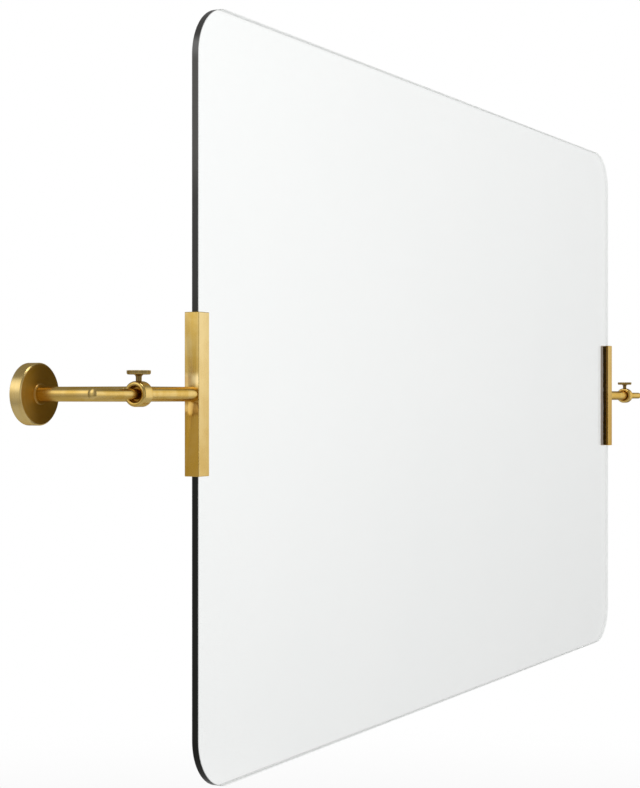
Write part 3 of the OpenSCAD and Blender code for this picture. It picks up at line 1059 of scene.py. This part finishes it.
on_both_arms("cast_ring", eye, ring_brass, "ring", (pivot.y, pivot.z))


# ---- Post studs and posts ----
# The post is a turned brass bar, drilled and tapped at both ends. A hidden steel
# stud joins its front end to the neck of the ring.

STUD_RADIUS = 2.95 * MM
STUD_PITCH = 1.0 * MM
STUD_CHAMFER = 0.5 * MM
STUD_DEPTH = 8 * MM
POST_SCREW_DEPTH = 9.7 * MM
POST_SEGMENTS = 128
POST_SOFTENING = 0.3 * MM
TAPPED = 3 * MM
TAPPED_SOFTENING = 0.2 * MM

low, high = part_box("left_post_stud")
length = high.y - low.y
blank = turned("stud", shank(length, STUD_RADIUS, STUD_PITCH, STUD_CHAMFER, STUD_CHAMFER),
               THREAD_SEGMENTS)
stud = settled(blank, threaded(0, length, STUD_PITCH, zinc))
on_both_arms("cut_stud", stud, zinc, "post_stud", (low.y, 0), ("y", "y"), "zinc_steel")

low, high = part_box("left_post")
front, back = -low.y, -high.y
screw_floor = back + POST_SCREW_DEPTH
stud_floor = front - STUD_DEPTH
outline = [
    (screw_floor, 0, 0),
    *rounded([(screw_floor, 0, 0), (screw_floor, TAPPED, 0), (back, TAPPED, TAPPED_SOFTENING),
              (back, rod_radius, POST_SOFTENING), (front, rod_radius, POST_SOFTENING),
              (front, TAPPED, TAPPED_SOFTENING), (stud_floor, TAPPED, 0), (stud_floor, 0, 0)])[1:-1],
    (stud_floor, 0, 0),
]
post_brass = brass("post_brass", lambda tree: straight_grain(tree, "y"))
post = turned("post", outline, POST_SEGMENTS)
on_both_arms("turned_post", post, post_brass, "post", (0, 0), ("-y", "-y"))


# ---- Flanges ----
# Turned brass cups that slip over the wall plates, with a raised boss round the post
# and a tapped hole for the grub screw underneath.

RIM = 2.5 * MM
FACE = 3 * MM
FLANGE_DEPTH = 10.5 * MM
FLANGE_CHAMFER = 1 * MM
BOSS_RADIUS = 7.75 * MM
POST_SCREW_HOLE = 3.2 * MM
GRUB_HOLE = 2 * MM
RIM_ROUND = 0.3 * MM
CHAMFER_ROUND = 0.45 * MM
BOSS_ROOT = 0.25 * MM
BOSS_ROUND = 0.3 * MM
HOLE_ROUND = 0.2 * MM
CUP_ROUND = 0.5 * MM
FLANGE_SEGMENTS = 256
FACE_BAND = 0.2 * MM
INNER_HALF = 0.9
UPRIGHT = (0.2, 0.9)
# Painted reflection on the turned face, darkest above and below the post.
FACE_TURN = 0.36
FACE_SHADE = 0.14
FACE_DEPTH = 0.7
FACE_ROUGH = 0.34
FACE_SMOOTHER = 0.22
RIM_PALENESS = 0.4

low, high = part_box("left_flange")
flange_radius = (high.z - low.z) / 2
post_start = -low.y
cup_radius = flange_radius - RIM
cup_floor = FLANGE_DEPTH - FACE
grub_low, grub_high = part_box("left_grub_screw")
grub_y = (grub_low.y + grub_high.y) / 2
outline = rounded([
    (0, cup_radius, RIM_ROUND), (0, flange_radius, RIM_ROUND),
    (FLANGE_DEPTH - FLANGE_CHAMFER, flange_radius, CHAMFER_ROUND),
    (FLANGE_DEPTH, flange_radius - FLANGE_CHAMFER, CHAMFER_ROUND),
    (FLANGE_DEPTH, BOSS_RADIUS, BOSS_ROOT), (post_start, BOSS_RADIUS, BOSS_ROUND),
    (post_start, POST_SCREW_HOLE, HOLE_ROUND), (cup_floor, POST_SCREW_HOLE, HOLE_ROUND),
    (cup_floor, cup_radius, CUP_ROUND)])
hole = bar_of_air(GRUB_HOLE, flange_radius - 2 * RIM, flange_radius + RIM, "z")
hole.transform(Matrix.Translation((0, 0, -grub_y)) @ ALONG["-y"])
cup = bored(turned("cup", outline, FLANGE_SEGMENTS, closed=True), hole)


def on_face(y):
    """1 on the flange's front face, 0 on its rim."""
    return (-y).ramp(FLANGE_DEPTH - FACE_BAND, FLANGE_DEPTH)


def inner_half(x):
    """1 on the half of a flange that is nearer the glass, 0 at its outer edge."""
    return (abs(x) - ring_x).ramp(INNER_HALF * flange_radius, 0)


def face_shade(x, y, z):
    """The turned face is painted darker than the rim, most of all above and below the post and on the
    half nearer the glass: painted reflection of its turned sheen.
    """
    upright = abs(z) / off_axis(abs(x) - ring_x, z)
    return on_face(y) * inner_half(x) * (upright.ramp(*UPRIGHT) * FACE_TURN + FACE_SHADE)


def face_roughness(x, y, z):
    """The face is turned rougher than the rim, more so away from the glass."""
    return on_face(y) * (FACE_ROUGH - inner_half(x) * FACE_SMOOTHER)


# The rim is paler than the face, and the face is a deeper yellow; face_shade paints reflection on the
# face.
flange_brass = brass("flange_brass", lambda tree: turned_grain(tree, "y"),
                     paler=lambda x, y, z: (1 - on_face(y)) * RIM_PALENESS,
                     deeper=lambda x, y, z: on_face(y) * FACE_DEPTH,
                     darker=face_shade, rougher=face_roughness)
on_both_arms("turned_flange", cup, flange_brass, "flange", (0, 0), ("-y", "-y"))


# ---- Post screws and grub screws ----
# An M6 cap screw from inside the flange pulls the post on to its boss. An M4 grub
# screw with a cone point draws the flange on to the plate's tapered edge.

HEAD_RADIUS = 5 * MM
HEAD_HEIGHT = 3.5 * MM
HEAD_SOFTENING = 0.35 * MM
HEAD_UNDERCUT = 0.2 * MM
POST_KEY = 4 * MM
CAP_RADIUS = 2.95 * MM
CAP_PITCH = 1.0 * MM
CAP_CHAMFER = 0.5 * MM
CAP_PLAIN = 0.3 * MM
KNURLS = 40
KNURL_STEPS = 6
KNURL_RADIUS = 0.3 * MM
KNURL_DEPTH = 0.12 * MM
GRUB_RADIUS = 1.95 * MM
GRUB_PITCH = 0.7 * MM
GRUB_CHAMFER = 0.3 * MM
GRUB_KEY = 2 * MM

flute_rule, tree, given = rule("mill_flutes", ("Count", "Rim", "Flute", "Depth"))
x, y, z = tree.axes(tree.node("GeometryNodeInputPosition"))
turn = y.maths("ARCTAN2", x) * given["Count"] / (2 * math.pi)
across = (turn.maths("FRACT") - 0.5) * given["Rim"] / given["Count"] * (2 * math.pi)
sag = (given["Flute"] * given["Flute"] - across * across).maths("MAXIMUM", 0).maths("SQRT")
limit = given["Rim"] + given["Flute"] - given["Depth"] - sag
radius = off_axis(x, y).maths("MAXIMUM", AT_AXIS)
squeezed_by(tree, given["Geometry"], x, y, (limit / radius).maths("MINIMUM", 1) - 1)


def fluted(count, rim, flute, depth, material):
    """Mills round flutes into a rim."""
    return follow(flute_rule, material, count=count, rim=rim, flute=flute, depth=depth)


low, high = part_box("left_post_screw")
length = high.y - low.y
outline = [
    (0, 0, 0),
    *rounded([(0, 0, 0), (0, HEAD_RADIUS, HEAD_SOFTENING), (HEAD_HEIGHT, HEAD_RADIUS, HEAD_UNDERCUT),
              (HEAD_HEIGHT, CAP_RADIUS, 0)])[1:-1],
    *rows(HEAD_HEIGHT, length - CAP_CHAMFER, CAP_RADIUS, CAP_PITCH),
    (length, CAP_RADIUS - CAP_CHAMFER, 0),
    (length, 0, 0),
]
cap = settled(turned("cap", outline, KNURLS * KNURL_STEPS),
              fluted(KNURLS, HEAD_RADIUS, KNURL_RADIUS, KNURL_DEPTH, zinc),
              threaded(HEAD_HEIGHT + CAP_PLAIN, length, CAP_PITCH, zinc),
              socketed(POST_KEY, 0, HEAD_HEIGHT / 2, zinc))
on_both_arms("cap_screw", cap, zinc, "post_screw", (high.y, 0), ("-y", "-y"), "zinc_steel")

length = grub_high.z - grub_low.z
cone = GRUB_RADIUS / 2
blank = turned("grub", shank(length, GRUB_RADIUS, GRUB_PITCH, GRUB_CHAMFER, cone), THREAD_SEGMENTS)
grub = settled(blank, threaded(0, length - cone, GRUB_PITCH, zinc),
               socketed(GRUB_KEY, 0, length / 2, zinc))
on_both_arms("cone_grub_screw", grub, zinc, "grub_screw", (grub_y, grub_low.z), slot="zinc_steel")


# ---- Wall plates ----
# Zinc-plated steel discs with a tapered edge and two screw holes. They are fixed to
# the wall first, and the flanges slip over them.

for side in SIDES:
    dress(f"{side}_wall_plate", zinc)


# ---- Thumb screws and clamp tips ----
# Turned brass screws with a fluted wheel, darker with handling. A nylon tip on the
# nose of each presses on the rod.

WHEEL_RADIUS = 8.8 * MM
WHEEL_HEIGHT = 3.1 * MM
WHEEL_CHAMFER = 0.8 * MM
WHEEL_SOFTENING = 0.3 * MM
TOP_SOFTENING = 0.35 * MM
FLUTES = 18
FLUTE_STEPS = 14
FLUTE_RADIUS = 1.1 * MM
FLUTE_DEPTH = 0.5 * MM
STEM_RADIUS = 2.2 * MM
STEM_FILLET = 2 * MM
FILLET_STEPS = 8
# Painted shade on the stem under the wheel.
STEM_SHADE = 0.75
SHADE_RISE = 1 * MM
SCREW_RADIUS = 2.45 * MM
SCREW_PITCH = 0.8 * MM
SCREW_CHAMFER = 0.4 * MM
THREAD_END = 0.05 * MM
NOSE_RADIUS = 1 * MM
NOSE_LENGTH = 0.6 * MM
NOSE_CHAMFER = 0.1 * MM
WHEEL_GLOSS = 0.24
WHEEL_AGE = 0.70
NYLON = (0.78, 0.75, 0.67)
NYLON_SHADE = (0.70, 0.66, 0.57)

low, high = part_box("left_thumb_screw")
nose = low.z
foot = nose + NOSE_LENGTH
wheel_top = high.z
wheel_foot = wheel_top - WHEEL_HEIGHT


def stem_shade(x, y, z):
    """Painted shade on the stem and in the corner under the wheel."""
    near = off_axis(abs(x) - ring_x, y - pivot.y).ramp(2 * STEM_RADIUS, STEM_RADIUS)
    return near * z.ramp(wheel_foot + SHADE_RISE, wheel_foot) * STEM_SHADE


fillet = []
for step in range(FILLET_STEPS + 1):
    angle = math.pi / 2 * step / FILLET_STEPS
    fillet.append((wheel_foot - STEM_FILLET * (1 - math.sin(angle)),
                   STEM_RADIUS + STEM_FILLET * (1 - math.cos(angle)), 0))
outline = [
    (nose, 0, 0),
    (nose, NOSE_RADIUS - NOSE_CHAMFER, 0),
    (nose + NOSE_CHAMFER, NOSE_RADIUS, 0),
    (foot, NOSE_RADIUS, 0),
    (foot, SCREW_RADIUS - SCREW_CHAMFER, 0),
    *rows(foot + SCREW_CHAMFER, ring_radius, SCREW_RADIUS, SCREW_PITCH),
    (ring_radius + THREAD_END, STEM_RADIUS, 0),
    *fillet,
    *rounded([(wheel_foot, STEM_RADIUS, 0), (wheel_foot, WHEEL_RADIUS - WHEEL_CHAMFER, WHEEL_SOFTENING),
              (wheel_foot + WHEEL_CHAMFER, WHEEL_RADIUS, WHEEL_SOFTENING),
              (wheel_top, WHEEL_RADIUS, TOP_SOFTENING), (wheel_top, 0, 0)])[1:-1],
    (wheel_top, 0, 0),
]
wheel_brass = brass("wheel_brass", lambda tree: straight_grain(tree, "z"),
                    gloss=WHEEL_GLOSS, age=WHEEL_AGE, darker=stem_shade)
screw = settled(turned("thumb", outline, FLUTES * FLUTE_STEPS),
                fluted(FLUTES, WHEEL_RADIUS, FLUTE_RADIUS, FLUTE_DEPTH, wheel_brass),
                threaded(foot, ring_radius, SCREW_PITCH, wheel_brass))
on_both_arms("fluted_screw", screw, wheel_brass, "thumb_screw", (pivot.y, pivot.z),
             slot="aged_brass", bodies=("left_screw", "right_screw"))

nylon, tree = finish("natural_nylon")
milky = tree.noise(700, 700, 700, detail=3).ramp(0.35, 0.7)
surface(tree, {"Base Color": tree.mix(milky, NYLON, NYLON_SHADE), "Roughness": milky * 0.1 + 0.38,
               "Normal": tree.bump(0.2, 0.01 * MM, milky)})
for side in SIDES:
    dress(f"{side}_clamp_tip", nylon)
